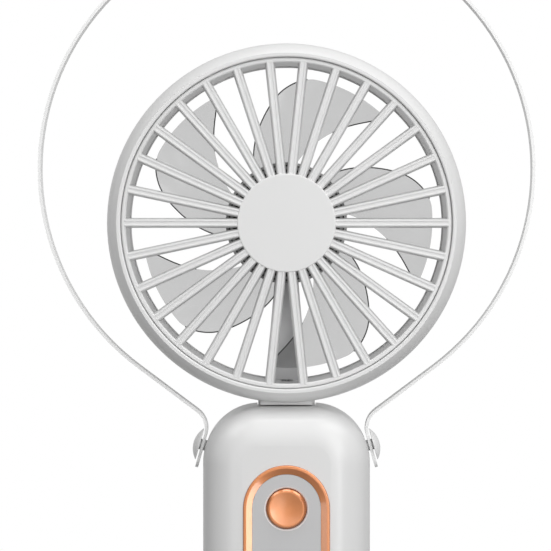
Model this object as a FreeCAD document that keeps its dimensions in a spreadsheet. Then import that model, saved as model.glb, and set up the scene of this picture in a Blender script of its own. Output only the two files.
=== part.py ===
import FreeCAD, Part
import math
import os
import Sketcher

# Handheld electric fan with a fold-back head, one power button and a stiff carry loop.
# Millimetres. +Z is up, +X is right seen from the front, and the fan blows towards -Y.
# The origin is the centre of the handle's flat base.

SIZES = {
    # head, measured from the fan axis outwards and from its middle plane to the front
    "fan_height": 162.5,
    "ring_radius": 49.4,
    "ring_flat": 5.0,
    "ring_edge_arc": 11.1,
    "head_half_depth": 13.0,
    "lip_outer_radius": 46.8,
    "lip_inner_radius": 45.25,
    "lip_round": 0.45,
    "duct_radius": 44.15,
    "duct_wall": 1.5,
    "ring_wall": 1.8,
    "ledge_depth": 10.8,
    "seam_chamfer": 0.25,
    # grilles
    "bar_count": 30,
    "bar_face": 1.5,
    "bar_width": 1.95,
    "bar_root": 2.7,
    "bar_face_depth": 12.45,
    "bar_edge_depth": 12.15,
    "bar_back_depth": 9.9,
    "rim_outer_radius": 45.05,
    "rim_face_depth": 12.3,
    "hub_disc_radius": 13.45,
    "hub_disc_depth": 12.6,
    "hub_disc_thick": 2.4,
    "rear_cup_radius": 17.0,
    "rear_cup_wall": 1.8,
    "rear_cup_front": 5.3,
    "rear_floor_front": 7.05,
    "rear_floor_thick": 1.5,
    "rear_cap_radius": 15.1,
    "rear_cap_front": 10.9,
    # impeller
    "blade_count": 5,
    "blade_tip": 40.1,
    "blade_root": 15.2,
    "blade_front": 7.6,
    "blade_rise": 9.2,
    "blade_thick": 1.0,
    "blade_chord_angle": 41.5,
    "blade_root_angle": 117.0,
    "blade_root_radius": 20.0,
    "blade_sweep": -1.52,
    "blade_corner": 5.5,
    "impeller_hub_radius": 15.9,
    "impeller_hub_front": 8.5,
    "impeller_hub_back": 3.4,
    "impeller_wall": 1.2,
    # motor
    "shaft_radius": 1.0,
    "shaft_back": 5.75,
    "bearing_radius": 3.0,
    "bearing_width": 2.5,
    "bearing_gap": 0.03,
    "post_radius": 4.0,
    "rotor_radius": 14.7,
    "rotor_wall": 0.8,
    "magnet_thick": 1.4,
    "air_gap": 0.4,
    "stator_front": 4.6,
    "stator_stack": 6.2,
    "tooth_count": 9,
    # handle
    "handle_half_width": 23.0,
    "handle_half_depth": 15.0,
    "handle_top": 112.0,
    "shoulder_radius": 15.5,
    "foot_radius": 9.0,
    "front_top_round": 10.0,
    "front_side_round": 11.0,
    "back_top_round": 7.0,
    "back_side_round": 8.5,
    "foot_round": 3.0,
    "shell_wall": 1.8,
    "shell_split": 5.5,
    "shell_seam": 0.3,
    # hinge
    "hinge_y": 8.0,
    "hinge_z": 105.0,
    "knuckle_radius": 6.7,
    "knuckle_half_width": 7.85,
    "hinge_side_gap": 0.3,
    "pin_radius": 1.5,
    "pin_gap": 0.05,
    "bracket_half_width": 10.6,
    # button and trim
    "button_z": 85.0,
    "button_radius": 5.3,
    "button_gap": 0.3,
    "trim_radius": 11.75,
    "trim_width": 2.4,
    "trim_proud": 0.45,
    "trim_step": 1.0,
    "trim_slope_width": 1.6,
    "trim_slope_depth": 0.4,
    "button_proud": 0.75,
    "trim_bottom_z": 34.0,
    "panel_gap": 0.06,
    # electronics and battery
    "cell_radius": 9.1,
    "cell_length": 65.0,
    "cell_bottom": 24.0,
    "cell_y": 2.6,
    "board_front": 8.1,
    "board_thick": 1.2,
    "board_half_width": 9.5,
    "board_bottom": 37.0,
    "board_top": 92.0,
    "socket_z": 14.0,
    "light_z": 46.0,
    "light_radius": 0.8,
    # screws
    "shell_screw_x": 16.6,
    "shell_screw_low_z": 12.0,
    "shell_screw_high_z": 82.0,
    "shell_screw_radius": 0.9,
    "shell_screw_sink": 3.4,
    "shell_boss_radius": 2.5,
    "bracket_screw_x": 9.4,
    "bracket_screw_z": 98.6,
    "bracket_screw_sink": 1.2,
    "small_screw_radius": 0.8,
    "knuckle_screw_x": 5.2,
    "knuckle_screw_y": 4.6,
    "knuckle_screw_radius": 0.95,
    "knuckle_seat_z": 115.05,
    "ring_screw_circle": 46.65,
    "ring_boss_radius": 1.65,
    "motor_screw_circle": 9.0,
    # carry loop and its studs
    "loop_radius": 68.43,
    "loop_rise": 15.0,
    "loop_leave_angle": 53.2,
    "band_thick": 0.8,
    "band_half_width": 2.7,
    "band_tail": 6.4,
    "band_bend": 6.2,
    "stud_tilt": 15.7,
    "stud_gap": 1.7,
    "stud_head_radius": 4.4,
    "stud_dome": 1.8,
    "stud_post_radius": 1.5,
    "band_hole_gap": 0.35,
}

doc = FreeCAD.newDocument("HandheldFan")
sheet = doc.addObject("Spreadsheet::Sheet", "Dims")
for row, (alias, number) in enumerate(SIZES.items(), start=1):
    sheet.set(f"A{row}", alias)
    sheet.set(f"B{row}", str(number))
    sheet.setAlias(f"B{row}", alias)
doc.recompute()


class Size:
    """A number together with the sheet formula that gives it."""

    def __init__(self, value, formula):
        self.value = value
        self.formula = formula

    def __add__(self, other):
        other = as_size(other)
        return Size(self.value + other.value, f"({self.formula} + {other.formula})")

    def __sub__(self, other):
        other = as_size(other)
        return Size(self.value - other.value, f"({self.formula} - {other.formula})")

    def __mul__(self, other):
        other = as_size(other)
        return Size(self.value * other.value, f"({self.formula} * {other.formula})")

    def __truediv__(self, other):
        other = as_size(other)
        return Size(self.value / other.value, f"({self.formula} / {other.formula})")

    def __neg__(self):
        return Size(-self.value, f"(-1 * {self.formula})")

    def __radd__(self, other):
        return as_size(other) + self

    def __rsub__(self, other):
        return as_size(other) - self

    def __rmul__(self, other):
        return as_size(other) * self


def as_size(number):
    return number if isinstance(number, Size) else Size(float(number), repr(float(number)))


def value_of(number):
    return number.value if isinstance(number, Size) else float(number)


def sine(angle):
    return Size(math.sin(math.radians(angle.value)), f"sin({angle.formula})")


def cosine(angle):
    return Size(math.cos(math.radians(angle.value)), f"cos({angle.formula})")


def tangent(angle):
    return Size(math.tan(math.radians(angle.value)), f"tan({angle.formula})")


class SheetSizes:
    """The driving dimensions by name, such as dim.ring_radius."""


dim = SheetSizes()
for alias in SIZES:
    setattr(dim, alias, Size(float(sheet.get(alias)), f"Dims.{alias}"))

X_AXIS = FreeCAD.Vector(1, 0, 0)
Y_AXIS = FreeCAD.Vector(0, 1, 0)
Z_AXIS = FreeCAD.Vector(0, 0, 1)
ALONG_X = FreeCAD.Rotation(Y_AXIS, 90)
ALONG_Y = FreeCAD.Rotation(X_AXIS, -90)
ALONG_Z = FreeCAD.Rotation()
FULL_TURN = 360
SIDES = ((-1, "left"), (1, "right"))
RING_SCREW_ANGLES = (45, 135, 225, 315)
MOTOR_SCREW_ANGLES = (30, 150, 270)
LIGHT_XS = (-4.5, -1.5, 1.5, 4.5)
BOARD_SCREWS = ((-6.6, 40.0), (6.6, 40.0), (-6.6, 70.5), (6.6, 70.5))
nodes = {}


# ---------------------------------------------------------------- helpers

def bind(thing, path, number):
    """Sets a property from the sheet when the number carries a formula."""
    if isinstance(number, Size):
        thing.setExpression(path, number.formula)
    else:
        thing.setExpression(path, repr(float(number)))


def place(thing, x=0, y=0, z=0, turn=ALONG_Z):
    point = FreeCAD.Vector(value_of(x), value_of(y), value_of(z))
    thing.Placement = FreeCAD.Placement(point, turn)
    for letter, number in (("x", x), ("y", y), ("z", z)):
        if isinstance(number, Size):
            thing.setExpression(f"Placement.Base.{letter}", number.formula)
    return thing


def keep(name, thing):
    """Names a finished sub-part; the name is also its file's name."""
    thing.Label = name
    nodes[name] = thing
    return thing


def box(name, low, high):
    thing = doc.addObject("Part::Box", name)
    for path, near, far in zip(("Length", "Width", "Height"), low, high):
        bind(thing, path, as_size(far) - near)
    return place(thing, *low)


def rod(name, radius, length, at, turn):
    thing = doc.addObject("Part::Cylinder", name)
    bind(thing, "Radius", radius)
    bind(thing, "Height", length)
    return place(thing, *at, turn=turn)


def cut(name, base, *tools):
    thing = base
    for number, tool in enumerate(tools, start=1):
        last = number == len(tools)
        step = doc.addObject("Part::Cut", name if last else f"{name}_cut{number}")
        step.Base = thing
        step.Tool = tool
        thing = step
    return thing


def fuse(name, *pieces):
    thing = doc.addObject("Part::MultiFuse", name)
    thing.Shapes = list(pieces)
    return thing


def common(name, first, second):
    thing = doc.addObject("Part::Common", name)
    thing.Base = first
    thing.Tool = second
    return thing


def group(name, pieces):
    thing = doc.addObject("Part::Compound", name)
    thing.Links = list(pieces)
    return thing


def tube(name, outer, inner, length, at, turn):
    return cut(name, rod(f"{name}_outside", outer, length, at, turn),
               rod(f"{name}_bore", inner, length, at, turn))


def origin_part(body, role):
    return next(part for part in body.Origin.OriginFeatures if part.Role == role)


def new_body(name):
    return doc.addObject("PartDesign::Body", name)


def sketch_on(body, plane, offset=0.0):
    sketch = body.newObject("Sketcher::SketchObject", f"{body.Name}_sketch")
    sketch.AttachmentSupport = [(origin_part(body, plane), "")]
    sketch.MapMode = "FlatFace"
    sketch.AttachmentOffset = FreeCAD.Placement(
        FreeCAD.Vector(0, 0, value_of(offset)), FreeCAD.Rotation())
    if isinstance(offset, Size):
        sketch.setExpression("AttachmentOffset.Base.z", offset.formula)
    return sketch


def arc_between(start, end, radius):
    """A minor arc that turns left when the radius is positive; it always runs anticlockwise."""
    chord = end - start
    height = math.sqrt(radius ** 2 - (chord.Length / 2) ** 2)
    side = 1 if radius > 0 else -1
    across = FreeCAD.Vector(-chord.y, chord.x, 0).normalize()
    centre = (start + end) * 0.5 + across * height * side
    first, last = (start, end) if radius > 0 else (end, start)
    angles = [math.atan2(point.y - centre.y, point.x - centre.x) for point in (first, last)]
    circle = Part.Circle(centre, Z_AXIS, abs(radius))
    return Part.ArcOfCircle(circle, *angles)


def draw(sketch, corners):
    """Draws a closed outline. A corner is (x, y), or (x, y, radius) when an arc leads to it;
    a positive radius turns left and a negative one turns right."""
    points = [FreeCAD.Vector(value_of(corner[0]), value_of(corner[1]), 0) for corner in corners]
    first_edge = sketch.GeometryCount
    ends = []
    for number, corner in enumerate(corners):
        start = points[number - 1]
        if len(corner) == 3:
            radius = value_of(corner[2])
            edge = sketch.addGeometry(arc_between(start, points[number], radius))
            ends.append((1, 2) if radius > 0 else (2, 1))
            bend = sketch.addConstraint(Sketcher.Constraint("Radius", edge, abs(radius)))
            if isinstance(corner[2], Size):
                formula = corner[2].formula if radius > 0 else (-corner[2]).formula
                sketch.setExpression(f"Constraints[{bend}]", formula)
        else:
            edge = sketch.addGeometry(Part.LineSegment(start, points[number]))
            ends.append((1, 2))
    for number, corner in enumerate(corners):
        edge = first_edge + number
        after = first_edge + (number + 1) % len(corners)
        leave = ends[(number + 1) % len(corners)][0]
        arrive = ends[number][1]
        sketch.addConstraint(Sketcher.Constraint("Coincident", edge, arrive, after, leave))
        for kind, number_given, spot in (("DistanceX", corner[0], points[number].x),
                                         ("DistanceY", corner[1], points[number].y)):
            index = sketch.addConstraint(Sketcher.Constraint(kind, -1, 1, edge, arrive, spot))
            if isinstance(number_given, Size):
                sketch.setExpression(f"Constraints[{index}]", number_given.formula)


def draw_circle(sketch, x, y, radius):
    centre = FreeCAD.Vector(value_of(x), value_of(y), 0)
    edge = sketch.addGeometry(Part.Circle(centre, Z_AXIS, value_of(radius)))
    rules = (("Radius", (edge,), radius), ("DistanceX", (-1, 1, edge, 3), x),
             ("DistanceY", (-1, 1, edge, 3), y))
    for kind, where, number in rules:
        index = sketch.addConstraint(Sketcher.Constraint(kind, *where, value_of(number)))
        if isinstance(number, Size):
            sketch.setExpression(f"Constraints[{index}]", number.formula)


def turned(name, corners):
    """Turns a (radius, y) outline about the fan axis."""
    body = new_body(name)
    sketch = sketch_on(body, "XY_Plane")
    draw(sketch, corners)
    turn = body.newObject("PartDesign::Revolution", f"{name}_turn")
    turn.Profile = sketch
    turn.ReferenceAxis = (sketch, ["V_Axis"])
    turn.Angle = FULL_TURN
    return place(body, z=dim.fan_height)


def padded(name, plane, length, offset=0.0, both_ways=False):
    """A body with one pad; the caller draws in the sketch that comes back with it."""
    body = new_body(name)
    sketch = sketch_on(body, plane, offset)
    pad = body.newObject("PartDesign::Pad", f"{name}_pad")
    pad.Profile = sketch
    pad.Midplane = both_ways
    bind(pad, "Length", length)
    return body, sketch


def repeat_round(body, feature, count):
    """Repeats a feature evenly about the fan axis."""
    pattern = body.newObject("PartDesign::PolarPattern", f"{body.Name}_round")
    pattern.Originals = [feature]
    pattern.Axis = (origin_part(body, "Y_Axis"), [""])
    pattern.Angle = FULL_TURN
    bind(pattern, "Occurrences", count)
    body.Tip = pattern


def lead(points, radius):
    """A round wire along straight runs joined by tangent arcs."""
    edges = []
    start = points[0]
    for before, corner, after in zip(points, points[1:], points[2:]):
        back = (before - corner).normalize()
        ahead = (after - corner).normalize()
        half_angle = back.getAngle(ahead) / 2
        reach = 0.45 * min((before - corner).Length, (after - corner).Length)
        bend = reach * math.tan(half_angle)
        centre = corner + (back + ahead).normalize() * (bend / math.sin(half_angle))
        middle = centre + (corner - centre).normalize() * bend
        edges.append(Part.LineSegment(start, corner + back * reach).toShape())
        edges.append(Part.Arc(corner + back * reach, middle, corner + ahead * reach).toShape())
        start = corner + ahead * reach
    edges.append(Part.LineSegment(start, points[-1]).toShape())
    path = Part.Wire(edges)
    heading = points[1] - points[0]
    section = Part.Wire(Part.Circle(points[0], heading, radius).toShape())
    return path.makePipeShell([section], True, True)


def lead_pair(name, points, spread, radius=0.5):
    """Two insulated wires side by side, one solid each."""
    thing = doc.addObject("Part::Feature", name)
    wires = []
    for side in (-1, 1):
        shifted = [FreeCAD.Vector(value_of(x) + side * spread, value_of(y), value_of(z))
                   for x, y, z in points]
        wires.append(lead(shifted, radius))
    thing.Shape = Part.Compound(wires)
    return thing


# ---------------------------------------------------------------- head ring

def ring_edge(depth, radius_step=0.0):
    """Radius of the ring's rounded edge at a distance in front of or behind its middle."""
    arc = dim.ring_edge_arc.value
    drop = arc - math.sqrt((arc - radius_step) ** 2 - (depth - dim.ring_flat.value) ** 2)
    return dim.ring_radius.value - drop


def make_housing(name, side):
    """Half of the hollow ring: side -1 is the front half and side 1 the rear half."""
    lip_flat = dim.lip_outer_radius - dim.lip_round
    floor = dim.ledge_depth - dim.duct_wall
    inner_arc = dim.ring_edge_arc - dim.ring_wall
    inside_edge = ring_edge(floor.value, dim.ring_wall.value)
    joint = dim.seam_chamfer * side
    corners = [
        (dim.duct_radius, 0.0),
        (dim.duct_radius, dim.ledge_depth * side),
        (dim.lip_inner_radius, dim.ledge_depth * side),
        (dim.lip_inner_radius, (dim.head_half_depth - dim.lip_round) * side),
        (dim.lip_inner_radius + dim.lip_round, dim.head_half_depth * side, dim.lip_round * -side),
        (lip_flat, dim.head_half_depth * side),
        (dim.ring_radius, dim.ring_flat * side, dim.ring_edge_arc * -side),
        (dim.ring_radius, joint),
        (dim.ring_radius - dim.seam_chamfer, 0.0),
        (dim.ring_radius - dim.ring_wall, 0.0),
        (dim.ring_radius - dim.ring_wall, dim.ring_flat * side),
        (inside_edge, floor * side, inner_arc * side),
        (dim.duct_radius + dim.duct_wall, floor * side),
        (dim.duct_radius + dim.duct_wall, 0.0),
    ]
    return turned(name, corners)


def make_ring_form(name):
    """The ring's solid outer form, used to seat the knuckle against it."""
    depth = dim.head_half_depth
    lip_flat = dim.lip_outer_radius - dim.lip_round
    corners = [
        (0.0, -depth),
        (lip_flat, -depth),
        (dim.ring_radius, -dim.ring_flat, dim.ring_edge_arc),
        (dim.ring_radius, dim.ring_flat),
        (lip_flat, depth, dim.ring_edge_arc),
        (0.0, depth),
    ]
    return turned(name, corners)


def make_grille(name, side, hub_radius, hub_corners):
    """A rim, a hub and evenly spaced tapered bars between them, each with a shallow groove."""
    body = new_body(name)
    rim_step = 0.3
    rim_inner = dim.duct_radius - rim_step
    rim_back = dim.ledge_depth + 0.02
    end_gap = 0.05
    rim = sketch_on(body, "XY_Plane")
    draw(rim, [
        (rim_inner, rim_back * side),
        (rim_inner, (dim.rim_face_depth - rim_step) * side),
        (rim_inner + rim_step, dim.rim_face_depth * side),
        (dim.rim_outer_radius - rim_step, dim.rim_face_depth * side),
        (dim.rim_outer_radius, (dim.rim_face_depth - rim_step) * side),
        (dim.rim_outer_radius, rim_back * side),
    ])
    hub = sketch_on(body, "XY_Plane")
    draw(hub, hub_corners)
    bar_overlap = 1.0
    ridge = 0.3
    groove_depth = 0.2
    groove_half = dim.bar_face / 2 - ridge
    groove_floor = dim.bar_face_depth - groove_depth
    bar_start = hub_radius - bar_overlap
    bar = sketch_on(body, "YZ_Plane", bar_start)
    draw(bar, [
        (dim.bar_back_depth * side, -dim.bar_root / 2),
        (dim.bar_back_depth * side, dim.bar_root / 2),
        (dim.bar_edge_depth * side, dim.bar_width / 2),
        (dim.bar_face_depth * side, dim.bar_face / 2),
        (dim.bar_face_depth * side, groove_half),
        (groove_floor * side, groove_half - groove_depth),
        (groove_floor * side, groove_depth - groove_half),
        (dim.bar_face_depth * side, -groove_half),
        (dim.bar_face_depth * side, -dim.bar_face / 2),
        (dim.bar_edge_depth * side, -dim.bar_width / 2),
    ])
    for profile in (rim, hub):
        turn = body.newObject("PartDesign::Revolution", f"{name}_turn")
        turn.Profile = profile
        turn.ReferenceAxis = (profile, ["V_Axis"])
        turn.Angle = FULL_TURN
    body.AllowCompound = True
    pad = body.newObject("PartDesign::Pad", f"{name}_bar")
    pad.Profile = bar
    bind(pad, "Length", dim.duct_radius - end_gap - bar_start)
    repeat_round(body, pad, dim.bar_count)
    return place(body, z=dim.fan_height)


def make_front_grille():
    front = -dim.hub_disc_depth
    back = front + dim.hub_disc_thick
    edge = 0.35
    return make_grille("front_grille", -1, dim.hub_disc_radius, [
        (0.0, front),
        (dim.hub_disc_radius - edge, front),
        (dim.hub_disc_radius, front + edge, edge),
        (dim.hub_disc_radius, back),
        (0.0, back),
    ])


def make_rear_grille():
    inner = dim.rear_cup_radius - dim.rear_cup_wall
    rim = dim.hub_disc_depth
    floor_back = dim.rear_floor_front + dim.rear_floor_thick
    edge = 0.35
    return make_grille("rear_grille_form", 1, dim.rear_cup_radius, [
        (0.0, dim.rear_floor_front),
        (inner, dim.rear_floor_front),
        (inner, dim.rear_cup_front),
        (dim.rear_cup_radius, dim.rear_cup_front),
        (dim.rear_cup_radius, rim - edge),
        (dim.rear_cup_radius - edge, rim, edge),
        (inner, rim),
        (inner, floor_back),
        (0.0, floor_back),
    ])


def below_axis(distance):
    return dim.fan_height - distance


# ---------------------------------------------------------------- impeller and motor

def blade_section(radius, lead_angle, chord_angle):
    """Closed thin strip on a cylinder about the fan axis; angles in degrees from +X."""
    steps = 6
    belly = 0.9
    full_chord = dim.blade_chord_angle.value
    slope = dim.blade_rise.value / (math.radians(full_chord) * radius)
    offset = dim.blade_thick.value * math.hypot(1, slope)
    rise = dim.blade_rise.value * chord_angle / full_chord
    front = []
    back = []
    for step in range(steps + 1):
        share = step / steps
        angle = math.radians(lead_angle - chord_angle * share)
        y = -dim.blade_front.value + rise * share - belly * math.sin(math.pi * share)
        x = radius * math.cos(angle)
        z = radius * math.sin(angle)
        front.append(FreeCAD.Vector(x, y, z))
        back.append(FreeCAD.Vector(x, y + offset, z))
    front_curve = Part.BSplineCurve()
    front_curve.interpolate(front)
    back_curve = Part.BSplineCurve()
    back_curve.interpolate(back[::-1])
    return [front_curve.toShape(), Part.LineSegment(front[-1], back[-1]).toShape(),
            back_curve.toShape(), Part.LineSegment(back[0], front[0]).toShape()]


def make_blade(name, turn_angle):
    """A swept, twisted blade whose leading corner is rounded off at the tip."""
    chord = dim.blade_chord_angle.value
    corner = dim.blade_corner.value
    tip = dim.blade_tip.value
    root = dim.blade_root.value
    tail_share = 0.35
    radii = [root, root + 6, root + 12, tip - corner - 3, tip - corner, tip - 3.4, tip - 1.6,
             tip - 0.5, tip]
    sections = []
    for radius in radii:
        into_corner = max(0.0, radius - (tip - corner))
        trim = corner - math.sqrt(corner ** 2 - into_corner ** 2)
        trim_angle = math.degrees(trim / radius)
        swept = dim.blade_sweep.value * (radius - dim.blade_root_radius.value)
        lead_angle = dim.blade_root_angle.value + swept - trim_angle
        sections.append(blade_section(radius, lead_angle, chord - trim_angle * (1 + tail_share)))
    sides = Part.makeLoft([Part.Wire(section) for section in sections], False, False)
    caps = [Part.makeRuledSurface(section[0], section[2]) for section in (sections[0], sections[-1])]
    skin = Part.makeCompound([sides, *caps])
    skin.sewShape()
    thing = doc.addObject("Part::Feature", name)
    thing.Shape = Part.makeSolid(skin.Shells[0])
    return place(thing, z=dim.fan_height, turn=FreeCAD.Rotation(Y_AXIS, turn_angle))


def make_impeller():
    front = -dim.impeller_hub_front
    edge = 1.2
    plate = front + dim.impeller_wall
    inner = dim.impeller_hub_radius - dim.impeller_wall
    shaft_boss = plate + 1.6
    hub = turned("impeller_hub", [
        (dim.shaft_radius, front),
        (dim.impeller_hub_radius - edge, front),
        (dim.impeller_hub_radius, front + edge, edge),
        (dim.impeller_hub_radius, dim.impeller_hub_back),
        (inner, dim.impeller_hub_back),
        (inner, plate),
        (dim.bearing_radius, plate),
        (dim.bearing_radius, shaft_boss),
        (dim.shaft_radius, shaft_boss),
    ])
    count = int(dim.blade_count.value)
    blades = [make_blade(f"blade_{number + 1}", number * FULL_TURN / count)
              for number in range(count)]
    return fuse("impeller", hub, *blades)


def make_rotor():
    """Shaft, its clip, the steel cup that carries the impeller and the ring magnet inside it."""
    shaft_front = -dim.impeller_hub_front + 0.1
    clip_y = 5.25
    clip_thick = 0.35
    keep("motor_shaft", rod("motor_shaft", dim.shaft_radius, dim.shaft_back - shaft_front,
                            (0, shaft_front, dim.fan_height), ALONG_Y))
    keep("shaft_clip", tube("shaft_clip", 2.2, dim.shaft_radius, clip_thick,
                            (0, clip_y, dim.fan_height), ALONG_Y))
    cup_front = -dim.impeller_hub_front + dim.impeller_wall
    cup_back = 3.0
    cup_inside = dim.rotor_radius - dim.rotor_wall
    keep("rotor_cup", turned("rotor_cup", [
        (dim.bearing_radius, cup_front),
        (dim.rotor_radius, cup_front),
        (dim.rotor_radius, cup_back),
        (cup_inside, cup_back),
        (cup_inside, cup_front + dim.rotor_wall),
        (dim.bearing_radius, cup_front + dim.rotor_wall),
    ]))
    magnet_inside = cup_inside - dim.magnet_thick
    magnet_front = -5.8
    magnet_back = 2.6
    keep("rotor_magnet", turned("rotor_magnet", [
        (magnet_inside, magnet_front),
        (cup_inside, magnet_front),
        (cup_inside, magnet_back),
        (magnet_inside, magnet_back),
    ]))
    return magnet_inside


def make_stator(magnet_inside):
    """The toothed core on the bearing post and one coil round each tooth."""
    core, profile = padded("stator_core", "XZ_Plane", dim.stator_stack,
                           dim.stator_front - dim.stator_stack)
    draw_circle(profile, 0, 0, magnet_inside - dim.air_gap)
    draw_circle(profile, 0, 0, dim.post_radius)
    slot = sketch_on(core, "XZ_Plane", dim.stator_front + 1)
    mouth = 0.7
    draw(slot, [
        (6.3, -1.25), (9.9, -2.45), (10.6, -mouth), (13.0, -mouth),
        (13.0, mouth), (10.6, mouth), (9.9, 2.45), (6.3, 1.25),
    ])
    doc.recompute()
    pocket = core.newObject("PartDesign::Pocket", "stator_slot")
    pocket.Profile = slot
    bind(pocket, "Length", dim.stator_stack + 2)
    repeat_round(core, pocket, dim.tooth_count)
    keep("stator_core", place(core, z=dim.fan_height))

    coils = []
    count = int(dim.tooth_count.value)
    for number in range(count):
        angle = FULL_TURN * (number + 0.5) / count
        outside = box(f"coil_{number}_outside", (6.8, -5.5, -1.55), (9.7, 2.5, 1.55))
        inside = box(f"coil_{number}_inside", (6.0, -4.62, -1.12), (10.5, 1.62, 1.12))
        coil = cut(f"coil_{number}", outside, inside)
        coils.append(place(coil, z=dim.fan_height, turn=FreeCAD.Rotation(Y_AXIS, angle)))
    keep("stator_windings", group("stator_windings", coils))


def on_fan_circle(radius, angle):
    """X and Z of a point on a circle about the fan axis."""
    across = math.radians(angle)
    return radius * math.cos(across), dim.fan_height + radius * math.sin(across)


def make_motor():
    """The whole motor; hands back the pilot holes that the rear grille shares with its base."""
    make_stator(make_rotor())
    base_front = -dim.stator_front - 0.5
    flange_front = 5.6
    flange_radius = 11.4
    base_floor = 6.1
    flange = turned("motor_base_form", [
        (dim.bearing_radius, base_front),
        (dim.post_radius, base_front),
        (dim.post_radius, flange_front),
        (flange_radius, flange_front),
        (flange_radius, dim.rear_floor_front),
        (0.0, dim.rear_floor_front),
        (0.0, base_floor),
        (dim.bearing_radius, base_floor),
    ])
    screw_start = 5.75
    screw_seat = dim.rear_floor_front + dim.rear_floor_thick
    pilots = []
    screws = []
    for number, angle in enumerate(MOTOR_SCREW_ANGLES):
        x, z = on_fan_circle(dim.motor_screw_circle, angle)
        thread = dim.small_screw_radius
        pilots.append(rod(f"motor_pilot_{number}", thread, 3.5, (x, screw_start - 0.05, z), ALONG_Y))
        shank = rod(f"motor_shank_{number}", thread, screw_seat - screw_start, (x, screw_start, z),
                    ALONG_Y)
        head = rod(f"motor_head_{number}", 1.5, 0.9, (x, screw_seat, z), ALONG_Y)
        screws.append(fuse(f"motor_screw_{number}", shank, head))
    pilot_group = group("motor_pilots", pilots)
    keep("motor_base", cut("motor_base", flange, pilot_group))
    keep("motor_screws", group("motor_screws", screws))

    board_front = 4.2
    board_thick = 1.0
    board = tube("motor_board_disc", 13.0, dim.post_radius + 0.1, board_thick,
                 (0, board_front, dim.fan_height), ALONG_Y)
    chip = box("motor_chip", (-2.5, board_front - 0.6, dim.fan_height - 9.6),
               (2.5, board_front + 0.05, dim.fan_height - 6.0))
    keep("motor_board", fuse("motor_board", board, chip))

    rear_bearing_back = 5.1
    bearings = (("front_bearing", base_front),
                ("rear_bearing", rear_bearing_back - dim.bearing_width))
    for name, front in bearings:
        keep(name, tube(name, dim.bearing_radius, dim.shaft_radius + dim.bearing_gap,
                        dim.bearing_width, (0, front, dim.fan_height), ALONG_Y))
    return pilot_group


def make_wire_duct():
    """A grey channel that widens from the motor cup to the ring and covers the motor leads."""
    top = -dim.rear_cup_radius + 0.25
    bottom = -dim.duct_radius + 0.35
    half_top = 3.35
    half_bottom = 5.75
    wall = 1.1
    front = 5.0
    back = dim.bar_back_depth - 0.05
    body, outside = padded("wire_duct_form", "XZ_Plane", back - front, -back)
    draw(outside, [(-half_bottom, bottom), (half_bottom, bottom),
                   (half_top, top), (-half_top, top)])
    inside = sketch_on(body, "XZ_Plane", -back)
    draw(inside, [(wall - half_bottom, bottom - 1), (half_bottom - wall, bottom - 1),
                  (half_top - wall, top + 1), (wall - half_top, top + 1)])
    doc.recompute()
    pocket = body.newObject("PartDesign::Pocket", "duct_channel")
    pocket.Profile = inside
    pocket.Reversed = True
    bind(pocket, "Length", back - front - wall)
    return place(body, z=dim.fan_height)


def make_head_lead():
    """The motor's two wires, from its board down the duct and the ring into the knuckle."""
    lead_y = 6.85
    exit_y = 4.0
    points = [
        (0, 5.75, below_axis(12.2)),
        (0, lead_y, below_axis(15.4)),
        (0, lead_y, below_axis(44.9)),
        (0, exit_y, below_axis(47.5)),
        (0, exit_y, 100.2),
    ]
    keep("head_lead", lead_pair("head_lead", points, 0.75))


def make_knuckle_screws():
    """Two screws that hold the knuckle under the ring, and the holes for them."""
    thread = dim.knuckle_screw_radius
    seat = dim.knuckle_seat_z
    low = seat - 7.5
    holes = []
    screws = []
    for side, label in SIDES:
        x = dim.knuckle_screw_x * side
        y = dim.knuckle_screw_y
        shank = rod(f"knuckle_shank_{label}", thread, 7.6, (x, y, low), ALONG_Z)
        head = rod(f"knuckle_head_{label}", 1.75, 1.2, (x, y, seat), ALONG_Z)
        screws.append(fuse(f"knuckle_screw_{label}", shank, head))
        holes.append(rod(f"knuckle_hole_{label}", thread, 9.0, (x, y, low), ALONG_Z))
        holes.append(rod(f"knuckle_seat_{label}", 1.8, 1.6, (x, y, seat), ALONG_Z))
    keep("knuckle_screws", group("knuckle_screws", screws))
    return group("knuckle_holes", holes)


def make_ring_screws():
    """Screws that clamp the ring's two halves, with their bosses and holes."""
    start = -0.6
    seat = 10.4
    thread = dim.small_screw_radius
    boss = dim.ring_boss_radius
    screws = []
    holes = []
    front_bosses = []
    rear_bosses = []
    for number, angle in enumerate(RING_SCREW_ANGLES):
        x, z = on_fan_circle(dim.ring_screw_circle.value, angle)
        shank = rod(f"ring_shank_{number}", thread, seat - start, (x, start, z), ALONG_Y)
        head = rod(f"ring_head_{number}", 1.1, 0.8, (x, seat, z), ALONG_Y)
        screws.append(fuse(f"ring_screw_{number}", shank, head))
        holes.append(rod(f"ring_hole_{number}", thread, 12.0, (x, start, z), ALONG_Y))
        holes.append(rod(f"ring_recess_{number}", 1.2, 4.0, (x, seat, z), ALONG_Y))
        front_bosses.append(rod(f"ring_front_boss_{number}", boss, 8.6, (x, -8.6, z), ALONG_Y))
        rear_bosses.append(rod(f"ring_rear_boss_{number}", boss, 9.6, (x, 0, z), ALONG_Y))
    keep("ring_screws", group("ring_screws", screws))
    return front_bosses, rear_bosses, group("ring_holes", holes)


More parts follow.
